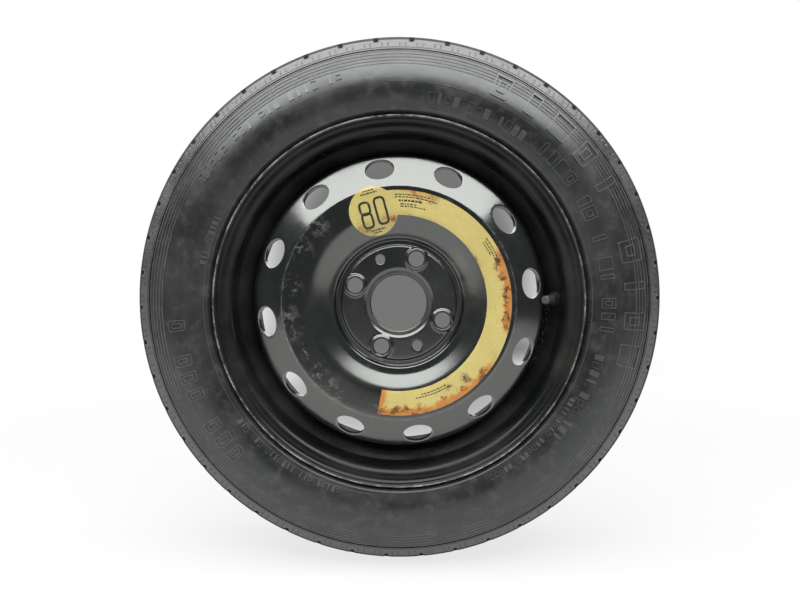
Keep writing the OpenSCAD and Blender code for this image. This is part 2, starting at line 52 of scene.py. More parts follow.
# Sizes that the solids have too, in millimetres and degrees: rim, tyre, disc and label
RIM_W, SEAT_R, FLANGE_H, FLANGE_W = 101.6, 177.4, 14.1, 12.4
RIM_T, TAPER, WELL_DEPTH, SLOPE, SLOPE_IN = 2.5, 5.0, 17.4, 50.0, 48.0
BEAD_W, TYRE_R, TYRE_W, ARC_R, TREAD_W = 17.0, 283.0, 135.0, 92.0, 84.0
NOTCHES, NOTCH_W, NOTCH_ROOT, NOTCH_DEPTH, NOTCH_PHASE = 46, 5.4, 3.0, 4.6, 1.1
GROOVE_W, GROOVE_DEPTH, GROOVES = 4.5, 4.2, (-25.0, -9.0, 9.0, 25.0)
SIPE_W, SIPE_DEPTH = 1.6, 3.0
DISC_T, OFFSET, BORE_R, PCD_R, ZONE_IN, ZONE_OUT, RING_W = 3.5, 42.0, 29.05, 49.0, 14.0, 10.5, 6.0
ZONE_H, CROWN_Z, CONE_W, CONE_FALL, SKIRT_IN = 1.8, 61.5, 36.0, 0.98, 2.0
BOLTS, BOLT_PHASE, PIN_ANGLES = 4, 68.2, (45, 225)
VENTS, VENT_PHASE, VENT_SHIFT = 12, 8.3, 0.8
LABEL_T, LABEL_GAP, LABEL_W, LABEL_START, LABEL_END = 0.3, 6.0, 25.0, -101.0, 100.0
FIELD_R, FIELD_MID, FIELD_A = 24.8, 97.5, 105.3
RIBS, RIB_PITCH, RIB_TOP, RIB_H, RIB_HALF, RIB_CREST = 5, 4.2, 1.4, 0.5, 0.9, 0.35
SHOULDER_DROP = np.array([9.0, -11.5])

FACE_Z = RIM_W / 2
FLANGE_R = SEAT_R + FLANGE_H
WELL_R = SEAT_R - WELL_DEPTH
WELL_IN_R = WELL_R - RIM_T
CROWN_R = WELL_IN_R - CONE_W
CONE_COS = math.cos(math.atan(CONE_FALL))
VENT_MID = (CROWN_R + WELL_IN_R) / 2 + VENT_SHIFT
SHOULDER_Z = TREAD_W / 2


# Profiles: points are [z, r], z outboard from the centre plane and r from the axis

def unit(v):
    return v / np.linalg.norm(v)


def left(v):
    """A direction, or rows of them, turned a quarter to the left."""
    return np.stack([-v[..., 1], v[..., 0]], -1)


def turns(n):
    """Angles of a full circle in equal steps."""
    return np.arange(n) * 2 * math.pi / n


def rounded(corners, step=4.0):
    """Points of a path whose corners are (z, r, radius)."""
    c = np.array(corners, float)
    out = [c[0, :2]]
    for a, b, d in zip(c[:-2], c[1:-1], c[2:]):
        d1, d2 = unit(b[:2] - a[:2]), unit(d[:2] - b[:2])
        turn = math.atan2(d1[0] * d2[1] - d1[1] * d2[0], d1 @ d2)
        if b[2] == 0 or abs(turn) < 0.01:
            out.append(b[:2])
            continue
        n = max(2, math.ceil(abs(math.degrees(turn)) / step))
        start = b[:2] - d1 * b[2] * math.tan(abs(turn) / 2)
        side = left(d1) * math.copysign(1, turn)
        middle = start + side * b[2]
        for i in range(n + 1):
            t = turn * i / n
            v = start - middle
            out.append(middle + np.array([v[0] * math.cos(t) - v[1] * math.sin(t),
                                          v[0] * math.sin(t) + v[1] * math.cos(t)]))
    out.append(c[-1, :2])
    return np.array(out)


def moved(corners, t):
    """The same corners moved sideways by t, to the left, with their roundings kept parallel."""
    c = np.array(corners, float)
    out = []
    for i in range(len(c)):
        i1, i2 = max(1, i), min(len(c) - 2, i)
        d1, d2 = unit(c[i1, :2] - c[i1 - 1, :2]), unit(c[i2 + 1, :2] - c[i2, :2])
        n1, n2 = left(d1), left(d2)
        if i == len(c) - 1:
            n1 = n2
        if i == 0:
            n2 = n1
        p = c[i, :2] + (n1 + n2) * t / (1 + n1 @ n2)
        turn = np.sign(d1[0] * d2[1] - d1[1] * d2[0])
        out.append([p[0], p[1], 0 if c[i, 2] == 0 else max(0.4, c[i, 2] - turn * t)])
    return out


def refined(pts, longest):
    """The same line with its long straight stretches divided."""
    out = [pts[0]]
    for a, b in zip(pts[:-1], pts[1:]):
        n = max(1, math.ceil(np.linalg.norm(b - a) / longest))
        out += [a + (b - a) * k / n for k in range(1, n + 1)]
    return np.array(out)


def along(pts):
    """Length along a line at each of its points."""
    return np.concatenate([[0], np.cumsum(np.linalg.norm(np.diff(pts, axis=0), axis=1))])


def normals(pts):
    """Unit normals of a line, to the right of its way."""
    d = np.gradient(pts, along(pts), axis=0)
    return -left(d / np.linalg.norm(d, axis=1)[:, None])


def to_row(r, a, z):
    """Wheel coordinates in millimetres and radians, as points of the shared frame in metres."""
    r, a, z = np.broadcast_arrays(r, a, z)
    return np.stack([r * np.cos(a), -z, r * np.sin(a)], -1) * MM


def crown_at(z):
    """Radius of the tread's crown."""
    return TYRE_R - ARC_R + np.sqrt(ARC_R ** 2 - np.asarray(z, float) ** 2)


# Meshes

def grid_faces(rows, cols, flip=False):
    """Four-sided faces of a grid of rows and columns, the columns closed into a ring."""
    i = np.arange(rows - 1)[:, None] * cols
    j = np.arange(cols)[None, :]
    k = (j + 1) % cols
    quads = np.stack([i + j, i + k, i + cols + k, i + cols + j], -1).reshape(-1, 4)
    return quads[:, ::-1] if flip else quads


def placed(name, data):
    """An object put into the scene."""
    ob = bpy.data.objects.new(name, data)
    bpy.context.scene.collection.objects.link(ob)
    return ob


# Points closer than this become one, in millimetres
MERGE = 0.004


def make(name, verts, faces, look, body="wheel", node=None, crease=35.0, slot=None, merge=False):
    """An object from points and faces, riding on its body, smooth but for its sharp edges."""
    mesh = bpy.data.meshes.new(name)
    points = np.asarray(verts, float).reshape(-1, 3).tolist()
    mesh.from_pydata(points, [], [list(map(int, f)) for f in faces])
    if merge:
        bm = bmesh.new()
        bm.from_mesh(mesh)
        bmesh.ops.remove_doubles(bm, verts=bm.verts, dist=MERGE * MM)
        bm.to_mesh(mesh)
        bm.free()
    mesh.shade_smooth()
    mesh.set_sharp_from_angle(angle=math.radians(crease))
    mesh.materials.append(look)
    piece = placed(name, mesh)
    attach(piece, body)
    if node:
        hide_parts(node)
    return piece


def revolved(name, pts, look, cols, **kw):
    """A ring turned from a line of [z, r] points."""
    verts = to_row(pts[:, 1][:, None], turns(cols)[None, :], pts[:, 0][:, None])
    return make(name, verts, grid_faces(len(pts), cols), look, **kw)


# Materials

class Look:
    """A material whose colour, gloss and relief come from nodes."""

    def __init__(self, name, colour, rough, metal=0.0, specular=0.5):
        self.mat = bpy.data.materials.new(name)
        self.mat.use_nodes = True
        self.tree = self.mat.node_tree
        self.shader = self.tree.nodes["Principled BSDF"]
        self.set("Base Color", (*colour, 1))
        self.set("Roughness", rough)
        self.set("Metallic", metal)
        self.set("Specular IOR Level", specular)
        self.where = self.node("ShaderNodeTexCoord").outputs["Object"]

    def node(self, kind, inputs=None, **settings):
        n = self.tree.nodes.new(kind)
        for key, value in settings.items():
            setattr(n, key, value)
        for key, value in (inputs or {}).items():
            self.link(value, n.inputs[key])
        return n

    def link(self, value, socket):
        if isinstance(value, bpy.types.NodeSocket):
            self.tree.links.new(value, socket)
        else:
            socket.default_value = value

    def set(self, name, value):
        self.link(value, self.shader.inputs[name])

    def math(self, op, value, *others):
        """A function of one value, or a chain over more of them, such as their sum."""
        for other in others or (0.0,):
            value = self.node("ShaderNodeMath", {0: value, 1: other}, operation=op).outputs[0]
        return value

    def both(self, *masks):
        """A product, such as of masks that have to hold at once."""
        return self.math("MULTIPLY", *masks)

    def vector(self, op, a, b=(0, 0, 0)):
        """A vector node's result, which is a number for LENGTH and DISTANCE."""
        n = self.node("ShaderNodeVectorMath", {0: a, 1: b}, operation=op)
        return n.outputs["Value" if op in ("LENGTH", "DISTANCE") else 0]

    def weigh(self, a, part_a, b, part_b):
        """A sum of two values in given shares."""
        return self.math("ADD", self.both(a, part_a), self.both(b, part_b))

    def noise(self, scale, detail=4.0, rough=0.55, at=None):
        return self.node("ShaderNodeTexNoise", {
            "Vector": at or self.where, "Scale": scale, "Detail": detail, "Roughness": rough}).outputs["Fac"]

    def between(self, value, lo, hi, to_lo=0.0, to_hi=1.0):
        """A smooth step of a value from one result to another, the same outside the two limits."""
        return self.node("ShaderNodeMapRange", {
            "Value": value, "From Min": lo, "From Max": hi, "To Min": to_lo, "To Max": to_hi},
            interpolation_type="SMOOTHSTEP").outputs[0]

    def mix(self, fac, a, b):
        n = self.node("ShaderNodeMix", data_type="RGBA")
        for socket, value in ((n.inputs["Factor"], fac), (n.inputs["A"], a), (n.inputs["B"], b)):
            self.link((*value, 1) if isinstance(value, tuple) and len(value) == 3 else value, socket)
        return n.outputs["Result"]

    def polar(self):
        """Distance from the wheel's axis in metres, angle from +X in radians, and place along Y."""
        r = self.vector("LENGTH", self.vector("MULTIPLY", self.where, (1, 0, 1)))
        xyz = self.node("ShaderNodeSeparateXYZ", {0: self.where})
        return r, self.math("ARCTAN2", xyz.outputs["Z"], xyz.outputs["X"]), xyz.outputs["Y"]

    def ring_noise(self, across, around, detail, rough):
        """Noise that follows the wheel's circles."""
        r, a, y = self.polar()
        at = self.node("ShaderNodeCombineXYZ", {0: self.both(a, around), 1: self.both(r, across), 2: y})
        return self.noise(1.0, detail, rough, at.outputs[0])

    def near(self, points, radius, soft):
        """A mask that is 1 within a radius of any of some points, in metres."""
        away = [self.vector("DISTANCE", self.where, p) for p in points]
        return self.math("MAXIMUM", *(self.between(d, radius - soft, radius + soft, 1.0, 0.0) for d in away))

    def bump(self, height, strength, distance, normal=None):
        n = self.node("ShaderNodeBump", {"Height": height, "Strength": strength, "Distance": distance})
        if normal is not None:
            self.link(normal, n.inputs["Normal"])
        self.set("Normal", n.outputs[0])

    def window(self, value, lo, hi, soft):
        """1 between two values and 0 outside them."""
        return self.both(self.between(value, lo - soft, lo + soft),
                         self.between(value, hi - soft, hi + soft, 1.0, 0.0))


def rubber_look(name, dust=0.0):
    """Sidewall rubber, with more or less pale dust on it."""
    def dusty(*colour):
        return tuple(c + dust for c in colour)

    look = Look(name, (0.03, 0.031, 0.032), 0.5, specular=0.8)
    grime = look.noise(9.0, 6.0, 0.6)
    rings = look.ring_noise(220.0, 3.0, 5.0, 0.6)
    smear = look.ring_noise(40.0, 7.0, 5.0, 0.62)
    fine = look.noise(900.0, 3.0)
    base = look.mix(look.between(grime, 0.35, 0.75), dusty(0.007, 0.0075, 0.008), dusty(0.02, 0.02, 0.0185))
    base = look.mix(look.between(rings, 0.5, 0.8, 0.0, 0.3), base, (0.04, 0.039, 0.036))
    base = look.mix(look.between(smear, 0.56, 0.78, 0.0, 0.4), base, (0.085, 0.083, 0.075))
    mottle = look.noise(85.0, 6.0, 0.7)
    base = look.mix(look.between(mottle, 0.48, 0.7, 0.0, 0.5), base, dusty(0.055, 0.054, 0.05))
    r, _, _ = look.polar()
    patchy = look.between(look.noise(30.0, 5.0, 0.65), 0.35, 0.6, 0.15, 0.7)
    for crest in RIB_R:
        line = look.both(look.window(r, (crest - RIB_CREST) * MM, (crest + RIB_CREST) * MM, 0.0003), patchy)
        base = look.mix(line, base, (0.12, 0.118, 0.108))
    look.set("Base Color", base)
    look.set("Specular Tint", (0.96, 1.0, 0.985, 1))
    look.set("Roughness", look.between(look.weigh(grime, 0.7, smear, 0.6), 0.45, 0.95, 0.26, 0.52))
    relief = look.weigh(rings, 0.5, fine, 0.2)
    look.bump(look.math("ADD", relief, look.both(mottle, 0.4)), 0.3, 0.0007)
    return look.mat


def tread_look():
    """Tread rubber: duller on the crown and along the shoulder's edge than on the shoulder's side."""
    look = Look("tread_rubber", (0.03, 0.03, 0.03), 0.5, specular=0.95)
    grime = look.noise(30.0, 6.0, 0.65)
    fine = look.noise(1200.0, 3.0)
    base = look.mix(look.between(grime, 0.3, 0.75), (0.02, 0.02, 0.021), (0.06, 0.059, 0.054))
    look.set("Base Color", base)
    r, _, y = look.polar()
    side = look.both(look.between(look.math("ABSOLUTE", y), 0.0405, 0.0425),
                     look.between(r, 0.2702, 0.2715, 1.0, 0.0))
    look.set("Specular IOR Level", look.between(side, 0.0, 1.0, 0.2, 0.95))
    dull = look.between(side, 0.0, 1.0, 0.3, 0.0)
    look.set("Roughness", look.math("ADD", look.between(grime, 0.3, 0.7, 0.28, 0.5), dull))
    look.bump(fine, 0.3, 0.0004)
    return look.mat


# Places of wear on the disc, with the crest and vent lips among them, whose pale lines are part wear and
# part painted highlight: scuffs as x and z in millimetres, rings as radii in metres
SCUFFS = [(-113, -12), (-112, -28), (-84, -72), (-65, -94), (-82, 79), (-99, 56), (-111, 16), (-75, -83)]
SCUFF_Y, SCUFF_R, SCUFF_SOFT = -0.0605, 0.006, 0.013
STREAKS, CREST_WEAR_AND_HIGHLIGHT, MUD, HUB_EDGE = (0.106, 0.1212), (0.1196, 0.1208), (0.066, 0.082), (0.026, 0.0345)
# The vent lips' pale line: part worn edge, part painted highlight
VENT_LIP_WEAR_AND_HIGHLIGHT = (0.0151, 0.0162)
# The vent cone's leaning band: where it begins and ends, and how far the normal leans at both ends
CONE_IN, CONE_OUT, LEAN_BAND, LEAN = (0.1198, 0.1222), (0.1528, 0.1568), (0.1225, 0.151), (0.79, 1.2)
# On the rim: the flange's lip, pale with wear and painted highlight, and a pale speckle between two angles
# in radians
LIP_WEAR_AND_HIGHLIGHT, CHALK_A, CHALK_R = (0.1892, 0.1912), (-0.42, -0.03), (0.1545, 0.1625)
# Pale steel: bare worn edges with a painted highlight on them
PALE_STEEL_AND_HIGHLIGHT, DUSTY_STEEL = (0.3, 0.31, 0.28), (0.2, 0.2, 0.185)
DRY_MUD, BROWN_EDGE = (0.075, 0.066, 0.048), (0.035, 0.027, 0.02)


def enamel(name, specular):
    """What the black enamels share: a look with its dust, its orange peel and its runs."""
    look = Look(name, (0.014, 0.0155, 0.0165), 0.25, specular=specular)
    dust = look.noise(14.0, 7.0, 0.62)
    peel = look.noise(150.0, 2.0, 0.4)
    flow = look.ring_noise(60.0, 5.0, 5.0, 0.6)
    return look, dust, peel, flow


def vent_reach(look, r, a):
    """Distance in metres from the middle of the nearest vent, along the cone."""
    steps = VENTS / (2 * math.pi)
    turn = look.both(look.math("SUBTRACT", a, math.radians(VENT_PHASE)), steps)
    turn = look.math("DIVIDE", look.math("SUBTRACT", turn, look.math("ROUND", turn)), steps)
    out = look.math("SUBTRACT", look.both(r, look.math("COSINE", turn)), VENT_MID * MM)
    return look.vector("LENGTH", look.node("ShaderNodeCombineXYZ", {
        0: look.math("DIVIDE", out, CONE_COS),
        1: look.both(r, look.math("SINE", turn))}).outputs[0])


def leaning_normal(look, r, y):
    """The surface's normal, leaning outboard on the vent cone so that it mirrors what the photo's does."""
    lean = look.both(look.between(r, *CONE_IN), look.between(r, *CONE_OUT, 1.0, 0.0),
                     look.between(r, *LEAN_BAND, *LEAN), look.between(y, -0.02, -0.012, 1.0, 0.0))
    outboard = look.node("ShaderNodeCombineXYZ", {1: look.both(lean, -1.0)}).outputs[0]
    facing = look.node("ShaderNodeNewGeometry").outputs["Normal"]
    return look.vector("NORMALIZE", look.vector("ADD", facing, outboard))


def disc_look():
    """Glossy black enamel with scuffs, dusty streaks and dried mud, and pale vent lips and crest that are
    part worn edge and part painted highlight.
    """
    look, dust, peel, flow = enamel("disc_enamel", 1.0)
    look.set("IOR", 1.66)
    look.set("Specular Tint", (0.97, 1.0, 0.95, 1))
    r, a, y = look.polar()
    grain = look.noise(420.0, 4.0, 0.6)
    chips = look.noise(260.0, 5.0, 0.7)
    blots = look.noise(170.0, 3.0, 0.55)
    scratch = look.ring_noise(900.0, 13.0, 6.0, 0.72)
    scuffs = look.both(look.near([(x * MM, SCUFF_Y, z * MM) for x, z in SCUFFS], SCUFF_R, SCUFF_SOFT),
                       look.between(blots, 0.49, 0.6, 0.0, 0.6), look.between(scratch, 0.4, 0.58, 0.35, 1.0))
    streaks = look.both(look.window(r, *STREAKS, 0.002), look.between(flow, 0.52, 0.68),
                        look.between(scratch, 0.5, 0.62))
    worn = look.math("MAXIMUM", scuffs, look.both(streaks, 0.55))
    # Pale line round each vent: part worn edge, part painted highlight
    lip_wear_and_highlight = look.both(look.window(vent_reach(look, r, a), *VENT_LIP_WEAR_AND_HIGHLIGHT, 0.0004),
                     look.between(chips, 0.36, 0.56, 0.25, 1.0))
    # Pale line along the crown's crest: part scratched wear, part painted highlight
    crest = look.both(look.window(r, *CREST_WEAR_AND_HIGHLIGHT, 0.0005), look.between(scratch, 0.45, 0.6, 0.05, 0.45))
    mud = look.both(look.window(r, *MUD, 0.003), look.between(dust, 0.5, 0.7, 0.0, 0.6))
    hub = look.both(look.window(r, *HUB_EDGE, 0.0012), look.between(dust, 0.3, 0.7, 0.2, 0.8))
    base = look.mix(look.between(dust, 0.45, 0.85, 0.0, 0.6), (0.005, 0.006, 0.0065), (0.022, 0.024, 0.021))
    base = look.mix(mud, base, DRY_MUD)
    base = look.mix(worn, base, DUSTY_STEEL)
    # Pale steel on the lips and crest: part wear, part painted highlight
    base = look.mix(look.both(look.math("MAXIMUM", lip_wear_and_highlight, crest), 0.7), base, PALE_STEEL_AND_HIGHLIGHT)
    look.set("Base Color", look.mix(hub, base, BROWN_EDGE))
    rough = look.between(look.weigh(dust, 0.8, grain, 0.25), 0.35, 0.85, 0.11, 0.26)
    rough = look.math("ADD", rough, look.between(r, 0.09, 0.1, 0.07, 0.0))
    look.set("Roughness", look.math("ADD", rough, look.weigh(worn, 0.3, hub, 0.25)))
    look.bump(look.weigh(peel, 0.8, flow, 0.2), 0.1, 0.0004, leaning_normal(look, r, y))
    return look.mat


def rim_look():
    """Duller black enamel with a lip that is pale with wear and painted highlight."""
    look, dust, peel, flow = enamel("rim_enamel", 0.3)
    r, a, _ = look.polar()
    chalk = look.ring_noise(700.0, 60.0, 6.0, 0.7)
    chips = look.noise(60.0, 6.0, 0.7)
    speckle = look.both(look.window(a, *CHALK_A, 0.05), look.window(r, *CHALK_R, 0.002),
                        look.between(chalk, 0.56, 0.64))
    # Pale line on the flange's lip: part worn paint, part painted highlight
    lip = look.both(look.window(r, *LIP_WEAR_AND_HIGHLIGHT, 0.0006), look.between(chips, 0.42, 0.62, 0.15, 1.0))
    base = look.mix(look.between(dust, 0.4, 0.8, 0.0, 0.7), (0.007, 0.0075, 0.008), (0.03, 0.029, 0.025))
    base = look.mix(look.both(speckle, 0.75), base, (0.55, 0.55, 0.52))
    look.set("Base Color", look.mix(lip, base, (0.3, 0.3, 0.28)))
    look.set("Roughness", look.between(dust, 0.3, 0.75, 0.2, 0.5))
    look.bump(look.weigh(peel, 0.6, flow, 0.4), 0.12, 0.0005)
    return look.mat


def label_look():
    """Yellow film with orange stains on its outer edge, its lower end and its top, and dark spots."""
    look = Look("label_film", (0.62, 0.55, 0.2), 0.38, specular=0.45)
    r, a, _ = look.polar()
    cloud = look.noise(18.0, 6.0, 0.65)
    spots = look.noise(95.0, 6.0, 0.7)
    fibre = look.noise(600.0, 3.0, 0.6)
    wrinkles = look.ring_noise(800.0, 9.0, 6.0, 0.7)

    def ragged(op, value, share, lo, hi, *ends):
        """A step of a value, its border frayed by the spots."""
        return look.between(look.math(op, value, look.both(spots, share)), lo, hi, *ends)

    base = look.mix(look.between(cloud, 0.35, 0.7), (0.52, 0.435, 0.155), (0.45, 0.37, 0.122))
    base = look.mix(look.between(fibre, 0.4, 0.75, 0.0, 0.25), base, (0.36, 0.28, 0.095))
    base = look.mix(look.between(wrinkles, 0.52, 0.68, 0.0, 0.55), base, (0.36, 0.25, 0.08))
    right = look.window(a, -0.24, 0.5, 0.09)
    low = look.both(look.window(a, -1.85, -0.55, 0.15), 0.8)
    top = look.both(look.window(a, 1.2, 1.6, 0.1), 0.5)
    outer = look.both(ragged("ADD", r, 0.026, 0.1165, 0.1255),
                      look.math("MAXIMUM", right, low, top))
    inner = look.both(ragged("SUBTRACT", r, 0.008, 0.0845, 0.0885, 1.0, 0.0), look.between(cloud, 0.42, 0.6))
    end = look.both(ragged("ADD", a, 0.12, -1.72, -1.6, 1.0, 0.0), look.between(a, -1.9, -1.8))
    stain = look.math("MAXIMUM", outer, look.both(inner, 0.7), end)
    base = look.mix(look.between(stain, 0.15, 0.8), base, (0.42, 0.17, 0.032))
    base = look.mix(look.both(stain, look.between(spots, 0.52, 0.62)), base, (0.06, 0.03, 0.012))
    torn = look.near([(0.0545, -0.0615, -0.087), (0.0665, -0.0615, -0.076)], 0.004, 0.004)
    base = look.mix(look.both(torn, look.between(spots, 0.45, 0.55)), base, (0.03, 0.025, 0.018))
    look.set("Base Color", base)
    look.set("Roughness", look.between(stain, 0.0, 1.0, 0.36, 0.75))
    look.bump(look.weigh(cloud, 0.6, spots, 0.3), 0.2, 0.0006)
    return look.mat


def ink_look():
    """Black print, worn through to the film in places."""
    look = Look("label_ink", (0.014, 0.014, 0.013), 0.4)
    wear = look.noise(420.0, 5.0, 0.7)
    look.set("Base Color", look.mix(look.between(wear, 0.62, 0.72), (0.014, 0.014, 0.013), (0.3, 0.26, 0.1)))
    look.set("Roughness", look.between(wear, 0.3, 0.7, 0.32, 0.55))
    look.bump(wear, 0.1, 0.0002)
    return look.mat


def plain_look(name, colour, rough, metal=0.0):
    """A small part's finish: one colour with darker, smoother spots."""
    look = Look(name, colour, rough, metal)
    spots = look.noise(600.0, 4.0)
    dark = tuple(c * 0.72 for c in colour)
    look.set("Base Color", look.mix(look.between(spots, 0.35, 0.7), dark, colour))
    look.set("Roughness", look.between(spots, 0.3, 0.7, rough * 0.8, min(1.0, rough * 1.25)))
    look.bump(spots, 0.15, 0.0003)
    return look.mat


# The tyre

SHOULDER = np.array([SHOULDER_Z, float(crown_at(SHOULDER_Z))])
SHOULDER_FOOT = SHOULDER + SHOULDER_DROP
WALL_H = SHOULDER_FOOT[1] - FLANGE_R
WALL_START = (FACE_Z + 5.5, FLANGE_R - 0.6)
WALL_FOOT = (FACE_Z + FLANGE_W - 1.4, FLANGE_R + 4.4)
BULGE = np.array([TYRE_W / 2 + 4.4, FLANGE_R + 0.45 * WALL_H])
WALL_END = SHOULDER_FOOT + [2.0, -3.5]
PLAIN_WALL = refined(rounded([(*WALL_START, 0), (*WALL_FOOT, 3), (*BULGE, 43.5), (*WALL_END, 0)], 3.0), 3.0)
PLAIN_OUT = normals(PLAIN_WALL)
WALL_UP = unit(WALL_END - BULGE)
RIB_CRESTS = [WALL_END - WALL_UP * (RIB_TOP + RIB_PITCH * (RIBS - 1 - i)) for i in range(RIBS)]
RIB_R = [p[1] for p in RIB_CRESTS]


def wall_line():
    """Outboard sidewall from the flange to the shoulder, with its fine ribs."""
    out = -left(WALL_UP) * RIB_H
    ribs = []
    for p in RIB_CRESTS:
        ribs += [p - WALL_UP * RIB_HALF, p - WALL_UP * RIB_CREST + out,
                 p + WALL_UP * RIB_CREST + out, p + WALL_UP * RIB_HALF]
    kept = [p for p in PLAIN_WALL if p[1] < ribs[0][1] - 0.3]
    return np.array(kept + ribs + [WALL_END + WALL_UP * 0.2])


def on_wall(r, a, lift):
    """Points of the outer sidewall at a radius and an angle in radians, raised by a height."""
    z, nz, nr = (np.interp(r, PLAIN_WALL[:, 1], row) for row in (PLAIN_WALL[:, 0], *PLAIN_OUT.T))
    return to_row(r + nr * lift, a, z + nz * lift)


# How far raised lines and blocks reach into the wall, in millimetres
SUNK, BLOCK_SUNK = 0.25, 0.2


def ridge(path, width, height, closed=True):
    """A raised line on a sheet: rows of (point, height) pairs for its two feet and two top edges."""
    path = np.asarray(path, float)
    if closed:
        before, after = np.roll(path, 1, axis=0), np.roll(path, -1, axis=0)
    else:
        before = np.concatenate([2 * path[:1] - path[1:2], path[:-1]])
        after = np.concatenate([path[1:], 2 * path[-1:] - path[-2:-1]])
    d1 = (path - before) / np.linalg.norm(path - before, axis=1)[:, None]
    d2 = (after - path) / np.linalg.norm(after - path, axis=1)[:, None]
    n1, n2 = left(d1), left(d2)
    side = (n1 + n2) / np.maximum(0.35, 1 + (n1 * n2).sum(1))[:, None]
    foot, top = (width / 2, -SUNK), (width * 0.3, height)
    return [(path + side * w, h) for w, h in (foot, top, (-top[0], top[1]), (-foot[0], foot[1]))]


class Relief:
    """Raised marks gathered into one mesh on the outer sidewall, each drawn in millimetres round a place."""

    def __init__(self):
        self.verts, self.faces, self.count = [], [], 0

    def add(self, pts, heights, faces, radius, angle):
        pts = np.asarray(pts, float)
        r = radius + pts[:, 1]
        a = math.radians(angle) - pts[:, 0] / radius
        self.verts.append(on_wall(r, a, np.asarray(heights, float)))
        self.faces += [tuple(int(i) + self.count for i in f) for f in faces]
        self.count += len(pts)

    def line(self, path, radius, angle, width, height, closed=True):
        """A raised outline."""
        rows = ridge(path, width, height, closed)
        n = len(path)
        pts = np.concatenate([row for row, _ in rows])
        heights = np.repeat([h for _, h in rows], n)
        faces = [(i * n + j, i * n + (j + 1) % n, (i + 1) * n + (j + 1) % n, (i + 1) * n + j)
                 for i in range(3) for j in range(n if closed else n - 1)]
        if not closed:
            faces += [(0, n, 2 * n, 3 * n), (4 * n - 1, 3 * n - 1, 2 * n - 1, n - 1)]
        self.add(pts, heights, [f[::-1] for f in faces], radius, angle)

    def block(self, path, radius, angle, height, bevel):
        """A raised block with a flat top."""
        n = len(path)
        top = ridge(path, 2 * bevel, height)[2][0]
        pts = np.concatenate([path, top])
        faces = [(j, (j + 1) % n, n + (j + 1) % n, n + j) for j in range(n)] + [tuple(range(n, 2 * n))]
        self.add(pts, [-BLOCK_SUNK] * n + [height] * n, faces, radius, angle)


def box_loop(w, h, r):
    """The outline of a box with rounded corners."""
    c = np.array([(-w / 2, -h / 2), (w / 2, -h / 2), (w / 2, h / 2), (-w / 2, h / 2)], float)
    out = []
    for a, b, d in zip(np.roll(c, 1, axis=0), c, np.roll(c, -1, axis=0)):
        u, v = unit(a - b), unit(d - b)
        k = min(r, np.linalg.norm(a - b) * 0.45, np.linalg.norm(d - b) * 0.45)
        out += [b + u * k * (1 - t) ** 2 + v * k * t ** 2 for t in np.linspace(0, 1, 5)]
    return np.array(out)


def figures(h):
    """Plain boxes of a height, single or one inside another, that stand in for moulded marks."""
    def box(w, *inner):
        return [box_loop(w * h, h, 1.0)] + [box_loop(w * h * 0.46, h * k, 0.8) for k in inner]
    return [box(0.74, 0.5), box(0.5), box(0.95), box(0.3), box(0.95, 0.4)]


# Rows of boxes: their radius, first angle, pitch, line width and line height, the figures that they
# choose from, and which one stands at each place; rows of bars: their radius, height, first and last
# angle, pitch and seed; thin lines: their radius, first and last angle
GAP = None
BOX_ROWS = [(240.5, 64.5, 8.6, 1.9, 1.0, figures(23.0), (0, 1, 2, 0, 3, GAP, 4, 3, 0, 2)),
            (212.5, 47.0, 3.6, 1.4, 0.85, figures(13.0),
             (3, 1, 2, 0, GAP, 1, 4, GAP, 3, GAP, 2, 3, GAP, 0, 1, 3)),
            (227.0, 222.5, 4.6, 1.6, 0.75, [[box_loop(10.5, 17.5, 2.0), box_loop(4.5, 10.0, 1.0)]],
             (0, 0, 0, GAP, 0, 0, 0, GAP, 0))]
BAR_ROWS = [(209.0, 9.5, 81.0, 53.0, 2.3, 3), (211.0, 9.0, -15.0, -41.0, 2.3, 4),
            (234.5, 9.0, 147.0, 104.0, 2.15, 5), (203.0, 5.5, 168.0, 152.0, 1.5, 6),
            (203.0, 5.5, 252.0, 214.0, 1.5, 7), (203.0, 5.0, 331.0, 296.0, 1.5, 8)]
THIN_LINES = [(222.5, 93, 52), (199.5, 262, 148), (197.5, 82, -41)]


def bars(marks, radius, h, start, end, pitch, seed):
    """A row of small raised bars in groups."""
    rng = random.Random(seed)
    a = start
    while a > end:
        for _ in range(rng.choice((3, 4, 5, 7))):
            kind = rng.random()
            w = h * (0.28 if kind < 0.3 else 0.62)
            tall = h * (1.0 if kind < 0.8 else 0.55)
            if kind < 0.55:
                marks.block(box_loop(w, tall, 0.5), radius, a, 0.7, 0.3)
            else:
                marks.line(box_loop(w, tall, 0.8), radius, a, 0.95, 0.7)
            a -= pitch
            if a < end:
                return
        a -= pitch * 0.9


def tyre_marks(look):
    """Moulded marks of the outer sidewall, in the places where the photo's tyre has raised print."""
    marks = Relief()
    for radius, start, pitch, width, height, shapes, order in BOX_ROWS:
        for k, which in enumerate(order):
            for loop in () if which is GAP else shapes[which]:
                marks.line(loop, radius, start - pitch * k, width, height)
    for row in BAR_ROWS:
        bars(marks, *row)
    for radius, start, end in THIN_LINES:
        t = np.arange(0, start - end + 0.01)
        path = np.stack([math.radians(1) * radius * t, np.zeros(len(t))], 1)
        marks.line(path, radius, start, 1.0, 0.4, closed=False)
    return make("tyre_marks", np.concatenate(marks.verts), marks.faces, look,
                node="tyre", crease=40.0, slot="tyre_rubber")


